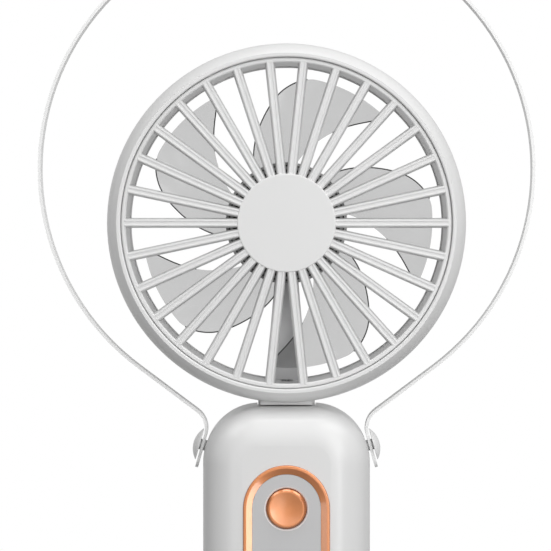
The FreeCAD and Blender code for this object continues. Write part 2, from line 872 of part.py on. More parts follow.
def make_knuckle(lead_hole, hole_group):
    """The barrel that turns on the pin and the neck that carries the ring."""
    half = dim.knuckle_half_width
    barrel = rod("knuckle_barrel", dim.knuckle_radius, half * 2,
                 (-half, dim.hinge_y, dim.hinge_z), ALONG_X)
    neck_back = dim.hinge_y - 0.3
    neck_top = dim.hinge_z + 12
    lip_front = -4.5
    lip_gap = 0.35
    lip_half = half - 0.7
    neck = box("knuckle_neck", (-half, dim.hinge_y - dim.knuckle_radius, dim.hinge_z),
               (half, neck_back, neck_top))
    lip = box("knuckle_lip", (-lip_half, lip_front, dim.handle_top + lip_gap),
              (lip_half, neck_back, neck_top))
    bore = rod("knuckle_bore", dim.pin_radius + dim.pin_gap, half * 2,
               (-half, dim.hinge_y, dim.hinge_z), ALONG_X)
    form = cut("knuckle_seated", fuse("knuckle_form", barrel, neck, lip),
               make_ring_form("ring_form"))
    keep("hinge_knuckle", cut("hinge_knuckle", form, bore, lead_hole, hole_group))


def make_head(pilot_group):
    keep("front_grille", make_front_grille())
    make_head_lead()
    cup_notch = box("cup_notch", (-1.6, 5.0, below_axis(19.0)), (1.6, 7.5, below_axis(11.0)))
    ring_notch = box("ring_notch", (-1.7, 3.0, below_axis(45.9)), (1.7, 7.5, below_axis(43.0)))
    lead_hole = box("lead_hole", (-1.6, 3.0, 96.0), (1.6, 5.4, below_axis(47.0)))
    keep("rear_grille", cut("rear_grille", make_rear_grille(), cup_notch, pilot_group))

    reach = 20.0
    cup_form = rod("cup_form", dim.rear_cup_radius, reach, (0, 0, dim.fan_height), ALONG_Y)
    duct_limit = rod("duct_limit", dim.duct_radius, reach, (0, 0, dim.fan_height), ALONG_Y)
    duct = common("duct_in_ring", make_wire_duct(), duct_limit)
    keep("wire_duct", cut("wire_duct", duct, cup_form))

    knuckle_holes = make_knuckle_screws()
    front_bosses, rear_bosses, ring_holes = make_ring_screws()
    rear = fuse("rear_housing_bossed", make_housing("rear_housing_form", 1), *rear_bosses)
    keep("rear_housing", cut("rear_housing", rear, ring_notch, lead_hole, knuckle_holes, ring_holes))
    front = fuse("front_housing_bossed", make_housing("front_housing_form", -1), *front_bosses)
    keep("front_housing", cut("front_housing", front, ring_holes))

    edge = 0.4
    keep("rear_cap", turned("rear_cap", [
        (0.0, dim.rear_cap_front),
        (dim.rear_cap_radius, dim.rear_cap_front),
        (dim.rear_cap_radius, dim.hub_disc_depth - edge),
        (dim.rear_cap_radius - edge, dim.hub_disc_depth, edge),
        (0.0, dim.hub_disc_depth),
    ]))
    make_knuckle(lead_hole, knuckle_holes)


# ---------------------------------------------------------------- handle

def handle_form(name, inset):
    """The handle's rounded form, or the same form set in by a wall's thickness."""
    half_width = dim.handle_half_width - inset
    top = dim.handle_top - inset
    bottom = as_size(inset)
    shoulder = dim.shoulder_radius - inset
    foot = dim.foot_radius - inset
    depth = (dim.handle_half_depth - inset) * 2
    body, profile = padded(f"{name}_slab", "XZ_Plane", depth, both_ways=True)
    draw(profile, [
        (half_width - foot, bottom),
        (half_width, bottom + foot, foot),
        (half_width, top - shoulder),
        (half_width - shoulder, top, shoulder),
        (shoulder - half_width, top),
        (-half_width, top - shoulder, shoulder),
        (-half_width, bottom + foot),
        (foot - half_width, bottom, foot),
    ])
    doc.recompute()
    edges = []
    for number, edge in enumerate(body.Shape.Edges, start=1):
        if edge.BoundBox.YLength > 1:
            continue
        if edge.BoundBox.YMin < 0:
            top_round, side_round = dim.front_top_round, dim.front_side_round
        else:
            top_round, side_round = dim.back_top_round, dim.back_side_round
        levels = (
            (top.value - 1, top_round),
            (bottom.value + 1, side_round),
            (-1, dim.foot_round),
        )
        heights = [edge.valueAt(edge.FirstParameter).z, edge.valueAt(edge.LastParameter).z]
        radii = [next(radius.value - value_of(inset) for level, radius in levels if height > level)
                 for height in heights]
        edges.append((number, *radii))
    fillet = doc.addObject("Part::Fillet", name)
    fillet.Base = body
    fillet.Edges = edges
    return fillet


def stadium(name, radius, near, far):
    """An upright slot-shaped plate between two depths, round at the button and at its foot."""
    body, profile = padded(name, "XZ_Plane", as_size(far) - near, -as_size(far))
    draw(profile, [
        (-radius, dim.trim_bottom_z),
        (0.0, dim.trim_bottom_z - radius, radius),
        (radius, dim.trim_bottom_z, radius),
        (radius, dim.button_z),
        (0.0, dim.button_z + radius, radius),
        (-radius, dim.button_z, radius),
    ])
    return body


def at_button(name, radius, near, far):
    return rod(name, radius, as_size(far) - near, (0, near, dim.button_z), ALONG_Y)


def front_rims(solid, front):
    """Numbers of the edges that lie in a solid's flat front face."""
    return [number for number, edge in enumerate(solid.Shape.Edges, start=1)
            if edge.BoundBox.YLength < 0.01 and abs(edge.BoundBox.YMin - front.value) < 0.01]


def half_span(solid, number):
    """How far from the middle plane an edge reaches sideways."""
    room = solid.Shape.Edges[number - 1].BoundBox
    return max(-room.XMin, room.XMax) - 0.01


def make_trim(face, ledge, wall_back):
    """The coloured frame round the panel and the button; its face slopes in to the panel."""
    front = face - dim.trim_proud
    edge = 0.25
    opening = dim.trim_radius - dim.trim_width
    collar_radius = dim.trim_radius - dim.trim_step - dim.panel_gap
    plate = stadium("trim_plate", dim.trim_radius, front, ledge)
    collar = stadium("trim_collar", collar_radius, ledge, wall_back)
    window = stadium("trim_window", opening, face - 2, wall_back)
    frame = cut("trim_sharp", fuse("trim_solid", plate, collar), window)
    doc.recompute()
    soft = doc.addObject("Part::Fillet", "trim_soft")
    soft.Base = frame
    soft.Edges = [(number, edge, edge) for number in front_rims(frame, front)
                  if half_span(frame, number) > opening.value]
    doc.recompute()
    depth = dim.trim_slope_depth.value
    width = dim.trim_slope_width.value
    sloped = doc.addObject("Part::Chamfer", "trim_frame")
    sloped.Base = soft
    sloped.Edges = [(number, width, depth) for number in front_rims(soft, front)
                    if half_span(soft, number) < opening.value + edge]
    keep("trim_frame", sloped)


def make_button(face, collar_front):
    """A bevelled, slightly dished cap with a collar that holds it behind the panel."""
    front = face - dim.button_proud
    bevel_size = 0.45
    dish_radius = 45.0
    dish_depth = 0.22
    cap = at_button("button_cap", dim.button_radius, front, collar_front + 0.1)
    collar = at_button("button_collar", dim.button_radius + 1.1, collar_front, collar_front + 0.7)
    form = fuse("button_form", cap, collar)
    doc.recompute()
    bevel = doc.addObject("Part::Chamfer", "button_bevel")
    bevel.Base = form
    bevel.Edges = [(number, bevel_size, bevel_size) for number in front_rims(form, front)]
    dish = doc.addObject("Part::Sphere", "button_dish")
    bind(dish, "Radius", dish_radius)
    place(dish, y=front - dish_radius + dish_depth, z=dim.button_z)
    keep("power_button", cut("power_button", bevel, dish))


def make_lights(panel_front):
    """Clear pipes from the indicator lights to the panel's face, and the holes for them."""
    pipe_length = 2.85
    guides = []
    holes = []
    for number, x in enumerate(LIGHT_XS):
        z = dim.light_z
        pipe = rod(f"light_pipe_{number}", dim.light_radius, pipe_length, (x, panel_front, z), ALONG_Y)
        foot = rod(f"light_foot_{number}", 1.2, 1.0, (x, panel_front + pipe_length, z), ALONG_Y)
        guides.append(fuse(f"light_guide_{number}", pipe, foot))
        holes.append(rod(f"light_hole_{number}", dim.light_radius + 0.05, 4.0,
                         (x, panel_front - 1, z), ALONG_Y))
    keep("light_guides", group("light_guides", guides))
    return group("light_holes", holes)


def make_panel_group():
    """Trim, panel, lights and button; hands back the shell's cutter and the board's pilots."""
    face = -dim.handle_half_depth
    ledge = face + 0.9
    wall_back = face + dim.shell_wall
    panel_front = face - 0.05
    flange_front = wall_back + 0.05
    flange_back = wall_back + 0.95
    panel_radius = dim.trim_radius - dim.trim_width - dim.panel_gap
    make_trim(face, ledge, wall_back)
    make_button(face, flange_back + 0.3)

    plate = stadium("panel_plate", panel_radius, panel_front, flange_front)
    flange = stadium("panel_flange", dim.trim_radius + 0.6, flange_front, flange_back)
    boss_length = -dim.board_front - flange_back
    pilot_front = -10.4
    bosses = []
    pilots = []
    for number, (x, z) in enumerate(BOARD_SCREWS):
        bosses.append(rod(f"board_boss_{number}", 1.7, boss_length, (x, flange_back, z), ALONG_Y))
        pilots.append(rod(f"board_pilot_{number}", dim.small_screw_radius, 3.6,
                          (x, pilot_front, z), ALONG_Y))
    hole_radius = dim.button_radius + dim.button_gap
    hole = at_button("panel_hole", hole_radius, face - 1, flange_back + 0.1)
    hole_bevel = doc.addObject("Part::Cone", "panel_hole_bevel")
    bevel = 0.35
    bind(hole_bevel, "Radius1", hole_radius + bevel * 2)
    bind(hole_bevel, "Radius2", hole_radius)
    bind(hole_bevel, "Height", as_size(bevel * 2))
    place(hole_bevel, y=panel_front - bevel, z=dim.button_z, turn=ALONG_Y)
    pilot_group = group("board_pilots", pilots)
    solid = fuse("panel_solid", plate, flange, *bosses)
    keep("face_panel", cut("face_panel", solid, hole, hole_bevel, pilot_group,
                           make_lights(panel_front)))

    recess = stadium("trim_recess", dim.trim_radius + 0.05, face - 2, ledge)
    opening = stadium("trim_opening", dim.trim_radius - dim.trim_step, face - 2, wall_back + 1)
    return fuse("panel_cutter", recess, opening), pilot_group


def stud_turn(side):
    """Turn that carries +Z onto a stud's axis."""
    return FreeCAD.Rotation(Y_AXIS, side * (90 - dim.stud_tilt.value))


def along_stud(side, distance):
    """Point on a stud's axis at a distance from the shoulder's centre."""
    x = dim.handle_half_width - dim.shoulder_radius + distance * cosine(dim.stud_tilt)
    z = dim.handle_top - dim.shoulder_radius + distance * sine(dim.stud_tilt)
    return x * side, 0, z


def stud_rod(name, side, radius, start, length):
    return rod(name, radius, length, along_stud(side, start), stud_turn(side))


def make_stud(side, label):
    """A mushroom stud: spigot in the shell, post for the band, domed head."""
    skin = dim.shoulder_radius
    head = skin + dim.stud_gap
    post_radius = dim.stud_post_radius
    post = stud_rod(f"stud_post_{label}", side, post_radius, skin - 3.2, dim.stud_gap + 3.4)
    grip = stud_rod(f"stud_grip_{label}", side, post_radius + 1.2, skin - 3.4, 1.1)
    disc = stud_rod(f"stud_disc_{label}", side, dim.stud_head_radius, head, dim.stud_dome)
    squares = dim.stud_head_radius * dim.stud_head_radius + dim.stud_dome * dim.stud_dome
    dome_radius = squares / (dim.stud_dome * 2) + 0.35
    dome = doc.addObject("Part::Sphere", f"stud_dome_{label}")
    bind(dome, "Radius", dome_radius)
    place(dome, *along_stud(side, head + dim.stud_dome - dome_radius))
    crown = common(f"stud_crown_{label}", disc, dome)
    keep(f"stud_{label}", fuse(f"stud_{label}", post, grip, crown))


def make_shell_screws():
    """Four screws that close the shell, with their bosses, pilots and clearance holes."""
    back = dim.handle_half_depth
    seat = back - dim.shell_screw_sink
    split = dim.shell_split
    thread = dim.shell_screw_radius
    boss = dim.shell_boss_radius
    screws = []
    front_bosses = []
    back_bosses = []
    pilots = []
    clearances = []
    for level, z in (("low", dim.shell_screw_low_z), ("high", dim.shell_screw_high_z)):
        for side, word in SIDES:
            label = f"{word}_{level}"
            x = dim.shell_screw_x * side
            shank = rod(f"shank_{label}", thread, 13.6, (x, back - 17.0, z), ALONG_Y)
            head = make_screw_head(f"head_{label}", x, seat, z)
            screws.append(fuse(f"shell_screw_{label}", shank, head))
            front_bosses.append(rod(f"front_boss_{label}", boss, split + 14, (x, -14, z), ALONG_Y))
            back_bosses.append(rod(f"back_boss_{label}", boss, 8.5, (x, split, z), ALONG_Y))
            pilots.append(rod(f"pilot_{label}", thread, 12.0, (x, split - 8, z), ALONG_Y))
            clearances.append(rod(f"clearance_{label}", 1.15, 12.0, (x, split - 0.5, z), ALONG_Y))
            clearances.append(rod(f"recess_{label}", 2.05, 6.0, (x, seat, z), ALONG_Y))
    keep("shell_screws", group("shell_screws", screws))
    return front_bosses, back_bosses, pilots, clearances


def make_bracket_screws():
    """Two screws that hold the hinge bracket to the back shell, and the holes for them."""
    back = dim.handle_half_depth
    seat = back - dim.bracket_screw_sink
    z = dim.bracket_screw_z
    screws = []
    clearances = []
    for side, label in SIDES:
        x = dim.bracket_screw_x * side
        shank = rod(f"bracket_shank_{label}", dim.shell_screw_radius, 6.4, (x, back - 7.5, z),
                    ALONG_Y)
        head = make_screw_head(f"bracket_head_{label}", x, seat, z)
        screws.append(fuse(f"bracket_screw_{label}", shank, head))
        clearances.append(rod(f"bracket_clearance_{label}", 1.0, 4.0, (x, back - 3, z), ALONG_Y))
        clearances.append(rod(f"bracket_recess_{label}", 2.05, 4.0, (x, seat, z), ALONG_Y))
    keep("bracket_screws", group("bracket_screws", screws))
    return clearances


def make_shells(panel_cutter, slot):
    outer = handle_form("handle_outside", 0.0)
    inner = handle_form("handle_inside", dim.shell_wall)
    hollow = cut("handle_hollow", outer, inner)
    far = 60
    tall = 180
    front_space = box("front_space", (-far, -far, -far), (far, dim.shell_split, tall))
    back_space = box("back_space", (-far, dim.shell_split, -far), (far, far, tall))
    front_bosses, back_bosses, pilots, clearances = make_shell_screws()
    clearances = group("shell_clearances", clearances + make_bracket_screws())
    seam_half = dim.shell_seam / 2
    seam_slab = box("seam_slab", (-far, dim.shell_split - seam_half, -far),
                    (far, dim.shell_split + seam_half, tall))
    seam = cut("shell_seam", common("seam_plate", outer, seam_slab),
               handle_form("seam_core", dim.shell_seam))

    hole_start = dim.shoulder_radius - 4
    stud_holes = group("stud_holes", [
        stud_rod(f"stud_hole_{label}", side, dim.stud_post_radius, hole_start, 6.0)
        for side, label in SIDES])
    front_posts = common("front_posts", group("front_bosses", front_bosses), outer)
    front = fuse("front_shell_solid", common("front_wall", hollow, front_space), front_posts)
    keep("front_shell", cut("front_shell", front, panel_cutter, slot, stud_holes,
                            group("shell_pilots", pilots), seam))
    back_posts = common("back_posts", group("back_bosses", back_bosses), outer)
    back = fuse("back_shell_solid", common("back_wall", hollow, back_space), back_posts)
    keep("back_shell", cut("back_shell", back, slot, clearances, make_port_hole(), seam))
    return inner


def make_screw_head(name, x, y, z):
    """A pan head with a cross recess."""
    head = rod(f"{name}_disc", 1.9, 1.0, (x, y, z), ALONG_Y)
    near = y + 0.55
    far = y + 2.0
    arms = [box(f"{name}_slot_{letter}", (x - wide, near, z - high), (x + wide, far, z + high))
            for letter, wide, high in (("a", 1.1, 0.2), ("b", 0.2, 1.1))]
    return cut(name, head, fuse(f"{name}_cross", *arms))


def make_port_hole():
    """The rounded slot in the back shell for the charging plug."""
    half_flat = 2.85
    radius = 2.1
    depth = 6.0
    behind = -17.0
    body, profile = padded("port_hole", "XZ_Plane", depth, behind)
    low = dim.socket_z - radius
    high = dim.socket_z + radius
    draw(profile, [
        (half_flat, low),
        (half_flat + radius, dim.socket_z, radius),
        (half_flat, high, radius),
        (-half_flat, high),
        (-half_flat - radius, dim.socket_z, radius),
        (-half_flat, low, radius),
    ])
    return body


def make_hinge_slot():
    """The space that the knuckle needs in the shells as the head folds back about the pin."""
    clear = dim.knuckle_radius + dim.hinge_side_gap
    half = dim.knuckle_half_width + dim.hinge_side_gap
    barrel = rod("slot_barrel", clear, half * 2, (-half, dim.hinge_y, dim.hinge_z), ALONG_X)
    above = box("slot_above", (-half, dim.hinge_y - clear, dim.hinge_z),
                (half, dim.hinge_y + 1, dim.handle_top + 10))
    behind = box("slot_behind", (-half, dim.hinge_y, dim.hinge_z - 0.4),
                 (half, dim.handle_half_depth + 10, dim.handle_top + 10))
    return fuse("hinge_slot", barrel, above, behind)


def make_bracket(inner, slot):
    """Holds the hinge pin and its friction washers either side of the knuckle."""
    half = dim.bracket_half_width
    block = box("bracket_block", (-half, -1.4, 95.6), (half, 13.1, 109.9))
    trimmed = common("bracket_trimmed", block, inner)
    pin_hole = rod("bracket_pin_hole", dim.pin_radius, half * 2 + 2,
                   (-half - 1, dim.hinge_y, dim.hinge_z), ALONG_X)
    lead_way = box("bracket_lead_way", (-1.7, 2.6, 90), (1.7, 5.2, 101))
    washer_radius = 4.2
    washer_thick = 0.5
    washer_proud = 0.15
    pocket_wall = dim.knuckle_half_width + dim.hinge_side_gap
    pilots = []
    pockets = []
    washers = []
    for side, label in SIDES:
        near = pocket_wall - washer_proud
        start = near if side > 0 else -near - washer_thick
        at = (start, dim.hinge_y, dim.hinge_z)
        washers.append(tube(f"washer_{label}", washer_radius, dim.pin_radius, washer_thick, at,
                            ALONG_X))
        pockets.append(rod(f"washer_pocket_{label}", washer_radius, washer_thick, at, ALONG_X))
        screw_at = (dim.bracket_screw_x * side, 7.3, dim.bracket_screw_z)
        pilots.append(rod(f"bracket_pilot_{label}", dim.shell_screw_radius, 7.0, screw_at, ALONG_Y))
    keep("friction_washers", group("friction_washers", washers))
    keep("hinge_bracket", cut("hinge_bracket", trimmed, slot, pin_hole, lead_way,
                              group("bracket_pilots", pilots), group("washer_pockets", pockets)))
    keep("hinge_pin", rod("hinge_pin", dim.pin_radius, half * 2 - 0.4,
                          (0.2 - half, dim.hinge_y, dim.hinge_z), ALONG_X))


def make_main_board(pilot_group):
    """Circuit board with its screws, indicator lights and the button's switch."""
    front = -dim.board_front
    back = front + dim.board_thick
    plate = box("main_board_plate", (-dim.board_half_width, front, dim.board_bottom),
                (dim.board_half_width, back, dim.board_top))
    chips = [
        box("charge_chip", (-6.0, front - 1.0, 54.0), (-1.0, front, 59.0)),
        box("motor_coil_block", (1.2, front - 1.6, 53.0), (6.2, front, 58.0)),
        box("speed_chip", (-2.2, front - 0.9, 63.0), (2.2, front, 66.6)),
    ]
    keep("main_board", cut("main_board", fuse("main_board_solid", plate, *chips), pilot_group))

    reach = 3.4
    screws = []
    for number, (x, z) in enumerate(BOARD_SCREWS):
        shank = rod(f"board_shank_{number}", dim.small_screw_radius, reach, (x, back - reach, z),
                    ALONG_Y)
        head = rod(f"board_head_{number}", 1.35, 0.9, (x, back, z), ALONG_Y)
        screws.append(fuse(f"board_screw_{number}", shank, head))
    keep("board_screws", group("board_screws", screws))

    leds = [box(f"led_{number}", (x - 0.8, front - 0.6, dim.light_z - 0.5),
                (x + 0.8, front, dim.light_z + 0.5)) for number, x in enumerate(LIGHT_XS)]
    keep("indicator_leds", group("indicator_leds", leds))

    switch_front = front - 2.0
    half = 3.0
    block = box("switch_block", (-half, switch_front, dim.button_z - half),
                (half, front, dim.button_z + half))
    well = at_button("switch_well", 1.7, switch_front - 0.1, front - 0.3)
    keep("switch_body", cut("switch_body", block, well))
    keep("switch_plunger", at_button("switch_plunger", 1.6, -11.05, front - 0.95))


def make_battery():
    """The cell, its two contact tabs and the cradle behind it."""
    y = dim.cell_y
    bottom = dim.cell_bottom
    top = bottom + dim.cell_length
    cap_height = 1.4
    cell = rod("battery_body", dim.cell_radius, dim.cell_length - cap_height, (0, y, bottom), ALONG_Z)
    cap = rod("battery_cap", 3.2, cap_height, (0, y, top - cap_height), ALONG_Z)
    keep("battery_cell", fuse("battery_cell", cell, cap))
    tab_thick = 0.2
    tabs = [box("tab_top", (-2.5, -6.4, top), (2.5, y + 3, top + tab_thick)),
            box("tab_foot", (-2.5, -6.4, bottom - tab_thick), (2.5, y + 3, bottom))]
    keep("battery_tabs", group("battery_tabs", tabs))
    end_wall = 1.45
    bore_low = bottom - 0.25
    bore_length = dim.cell_length + 0.5
    cradle = rod("cradle_outside", 10.5, bore_length + end_wall * 2, (0, y, bore_low - end_wall),
                 ALONG_Z)
    bore = rod("cradle_bore", dim.cell_radius + 0.1, bore_length, (0, y, bore_low), ALONG_Z)
    open_front = box("cradle_open", (-12, -12, 0), (12, y + 0.5, 120))
    keep("battery_cradle", cut("battery_cradle", cradle, bore, open_front))


def make_charging():
    """USB-C receptacle on its own small board at the handle's foot."""
    middle = dim.socket_z
    low = middle - 1.63
    shell = box("socket_shell", (-4.47, 6.6, low), (4.47, 13.15, middle + 1.63))
    mouth = box("socket_mouth", (-4.17, 8.0, middle - 1.33), (4.17, 15.0, middle + 1.33))
    tongue = box("socket_tongue", (-3.35, 7.5, middle - 0.35), (3.35, 13.2, middle + 0.35))
    keep("usb_socket", fuse("usb_socket", cut("socket_hollow", shell, mouth), tongue))
    keep("charge_board", box("charge_board", (-8.5, -1.0, low - 1.2), (8.5, 12.6, low)))


def make_handle_leads():
    """Wires from the main board up into the hinge and down to the charging board."""
    up = [(0, 4.0, 98.9), (0, 4.0, 95.0), (0, 0.5, 92.4), (0, -5.0, 91.2), (0, -6.9, 91.2)]
    keep("handle_lead", lead_pair("handle_lead", up, 0.75))
    down = [(0, -0.4, 12.9), (0, -3.0, 14.5), (0, -4.2, 21.0), (0, -6.0, 31.0), (0, -6.38, 38.3)]
    keep("charge_lead", lead_pair("charge_lead", down, 8.0))


def moved(point, direction, distance):
    """A point of the XZ plane shifted along a direction; both are pairs of sizes."""
    return tuple(start + step * distance for start, step in zip(point, direction))


def cross(first, second):
    return first[0] * second[1] - first[1] * second[0]


def loop_side(shift):
    """The right-hand stretch of the band, moved outwards by a shift: tail, bend and circle."""
    tilt = dim.stud_tilt
    leave = dim.loop_leave_angle
    up = (-sine(tilt), cosine(tilt))
    up_out = (cosine(tilt), sine(tilt))
    away = (sine(leave), cosine(leave))
    away_out = (cosine(leave), -sine(leave))
    start = (dim.handle_half_width - dim.shoulder_radius, dim.handle_top - dim.shoulder_radius)
    stud = moved(start, up_out, dim.shoulder_radius + dim.stud_gap / 2)
    centre = (as_size(0.0), dim.fan_height + dim.loop_rise)
    touch = moved(centre, away_out, dim.loop_radius)
    gap = (touch[0] - stud[0], touch[1] - stud[1])
    corner = moved(stud, up, cross(gap, away) / cross(up, away))
    reach = dim.band_bend * tangent((leave + tilt) / 2)
    tail = moved(moved(stud, up, -dim.band_tail), up_out, shift)
    bend_low = moved(moved(corner, up, -reach), up_out, shift)
    bend_high = moved(moved(corner, away, reach), away_out, shift)
    return tail, bend_low, bend_high, moved(touch, away_out, shift)


def mirrored(point):
    return (-point[0], point[1])


def make_loop():
    """One thin moulded band: a circle round the head that narrows to both studs."""
    half_thick = dim.band_thick / 2
    outer = loop_side(half_thick)
    inner = loop_side(-half_thick)
    centre_z = dim.fan_height + dim.loop_rise
    big_out = dim.loop_radius + half_thick
    big_in = dim.loop_radius - half_thick
    bend_out = dim.band_bend + half_thick
    bend_in = dim.band_bend - half_thick
    body, profile = padded("band_form", "XZ_Plane", dim.band_half_width * 2, both_ways=True)
    draw(profile, [
        outer[0],
        outer[1],
        (*outer[2], -bend_in),
        outer[3],
        (big_out, centre_z, big_out),
        (0.0, centre_z + big_out, big_out),
        (-big_out, centre_z, big_out),
        (*mirrored(outer[3]), big_out),
        mirrored(outer[2]),
        (*mirrored(outer[1]), -bend_in),
        mirrored(outer[0]),
        mirrored(inner[0]),
        mirrored(inner[1]),
        (*mirrored(inner[2]), bend_out),
        mirrored(inner[3]),
        (-big_in, centre_z, -big_in),
        (0.0, centre_z + big_in, -big_in),
        (big_in, centre_z, -big_in),
        (*inner[3], -big_in),
        inner[2],
        (*inner[1], bend_out),
        inner[0],
    ])
    doc.recompute()
    low = min(outer[0][1].value, inner[0][1].value) - 0.01
    high = max(outer[0][1].value, inner[0][1].value) + 0.01
    corner_round = dim.band_half_width.value - 0.1
    ends = []
    for number, edge in enumerate(body.Shape.Edges, start=1):
        room = edge.BoundBox
        if room.YLength < 0.01 and room.ZMin > low and room.ZMax < high:
            ends.append((number, corner_round, corner_round))
    rounded = doc.addObject("Part::Fillet", "band_rounded")
    rounded.Base = body
    rounded.Edges = ends
    hole_radius = dim.stud_post_radius + dim.band_hole_gap
    holes = [stud_rod(f"band_hole_{label}", side, hole_radius, dim.shoulder_radius, dim.stud_gap)
             for side, label in SIDES]
    keep("carry_loop", cut("carry_loop", rounded, *holes))


# ---------------------------------------------------------------- assembly

def check_document():
    """Stops if any object failed, or a sub-part's shape is empty or not valid."""
    for thing in doc.Objects:
        if "Invalid" in thing.State or "Error" in thing.State:
            raise RuntimeError(f"{thing.Name}: {thing.State}")
    for name, thing in nodes.items():
        if thing.Shape.isNull() or not thing.Shape.isValid():
            raise RuntimeError(f"{name}: shape is null or not valid")


def main():
    motor_pilots = make_motor()
    keep("impeller", make_impeller())
    make_head(motor_pilots)
    panel_cutter, board_pilots = make_panel_group()
    slot = make_hinge_slot()
    inner = make_shells(panel_cutter, slot)
    make_bracket(inner, slot)
    make_main_board(board_pilots)
    make_battery()
    make_charging()
    make_handle_leads()
    for side, label in SIDES:
        make_stud(side, label)
    make_loop()
    doc.recompute()
    check_document()
    os.makedirs("parts", exist_ok=True)
    for name, thing in nodes.items():
        thing.Shape.exportStep(f"parts/{name}.step")
        print(f"{name}: {len(thing.Shape.Solids)} solid, {thing.Shape.Volume:.1f} mm3")


main()
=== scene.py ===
import math

import bmesh
import bpy
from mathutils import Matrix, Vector


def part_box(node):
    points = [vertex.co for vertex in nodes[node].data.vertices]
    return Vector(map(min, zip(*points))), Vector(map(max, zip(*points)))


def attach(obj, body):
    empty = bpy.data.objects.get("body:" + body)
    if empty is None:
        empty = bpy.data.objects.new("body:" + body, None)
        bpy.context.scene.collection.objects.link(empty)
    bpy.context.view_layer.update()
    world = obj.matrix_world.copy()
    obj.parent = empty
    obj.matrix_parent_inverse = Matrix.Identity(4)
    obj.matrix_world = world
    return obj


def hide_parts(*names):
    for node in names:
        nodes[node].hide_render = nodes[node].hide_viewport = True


# Handheld electric fan. Metres, in the CAD model's frame: +Z up, the fan blows towards -Y.

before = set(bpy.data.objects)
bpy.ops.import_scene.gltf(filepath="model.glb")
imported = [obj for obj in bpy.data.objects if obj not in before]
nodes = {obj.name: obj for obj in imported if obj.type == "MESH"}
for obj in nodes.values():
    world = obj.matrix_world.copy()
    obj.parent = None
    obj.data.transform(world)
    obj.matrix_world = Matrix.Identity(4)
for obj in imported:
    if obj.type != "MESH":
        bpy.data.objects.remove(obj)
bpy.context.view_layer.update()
scene = bpy.context.scene
MM = 0.001

button_low, button_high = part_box("power_button")
button_centre = tuple((low + high) / 2 for low, high in zip(button_low, button_high))
ring_low, ring_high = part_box("front_housing")
fan_axis = ((ring_low.x + ring_high.x) / 2, 0.0, (ring_low.z + ring_high.z) / 2)


# ---------------------------------------------------------------- materials

X_AXIS, Y_AXIS, Z_AXIS = 0, 1, 2

# The Mix node's colour sockets, which share their names with its number sockets.
MIX_FIRST, MIX_SECOND, MIX_RESULT = 6, 7, 2

# The part of a noise's range that a roughness follows.
NOISE_RANGE = (0.3, 0.7)

# Moulded plastic: long waves in its surface and tone, and patches of gloss.
WAVE_SIZE = 30 * MM
WAVE_HEIGHT = 0.01 * MM
GLOSS_PATCH = 12 * MM

COPPER_DARK = (0.84, 0.315, 0.12)
COPPER_LIGHT = (0.90, 0.35, 0.138)
COPPER_COAT_IOR = 1.8

PANEL_GREY = (0.60, 0.60, 0.605)
PANEL_LIGHT = (0.63, 0.63, 0.635)
# Painted highlight: a white ring round the button hole, out to the radius below.
HOLE_PAINTED_HIGHLIGHT = (0.93, 0.93, 0.93)
HOLE_HIGHLIGHT_RADIUS = 6.02 * MM

# Painted light on the impeller hub at each distance from the fan axis, out to its span: painted
# shade under the bars' inner ends, a pale step of painted highlight, then a dark rim of painted
# shade.
HUB_PAINTED_SHADE = (0.006, 0.006, 0.006)
HUB_PAINTED_HIGHLIGHT = (0.42, 0.42, 0.42)
HUB_SPAN = 20 * MM
HUB_PAINTED_LIGHT_TONES = (
    (14.6 * MM, HUB_PAINTED_SHADE),
    (14.75 * MM, HUB_PAINTED_HIGHLIGHT),
    (15.45 * MM, HUB_PAINTED_HIGHLIGHT),
    (15.6 * MM, HUB_PAINTED_SHADE),
)


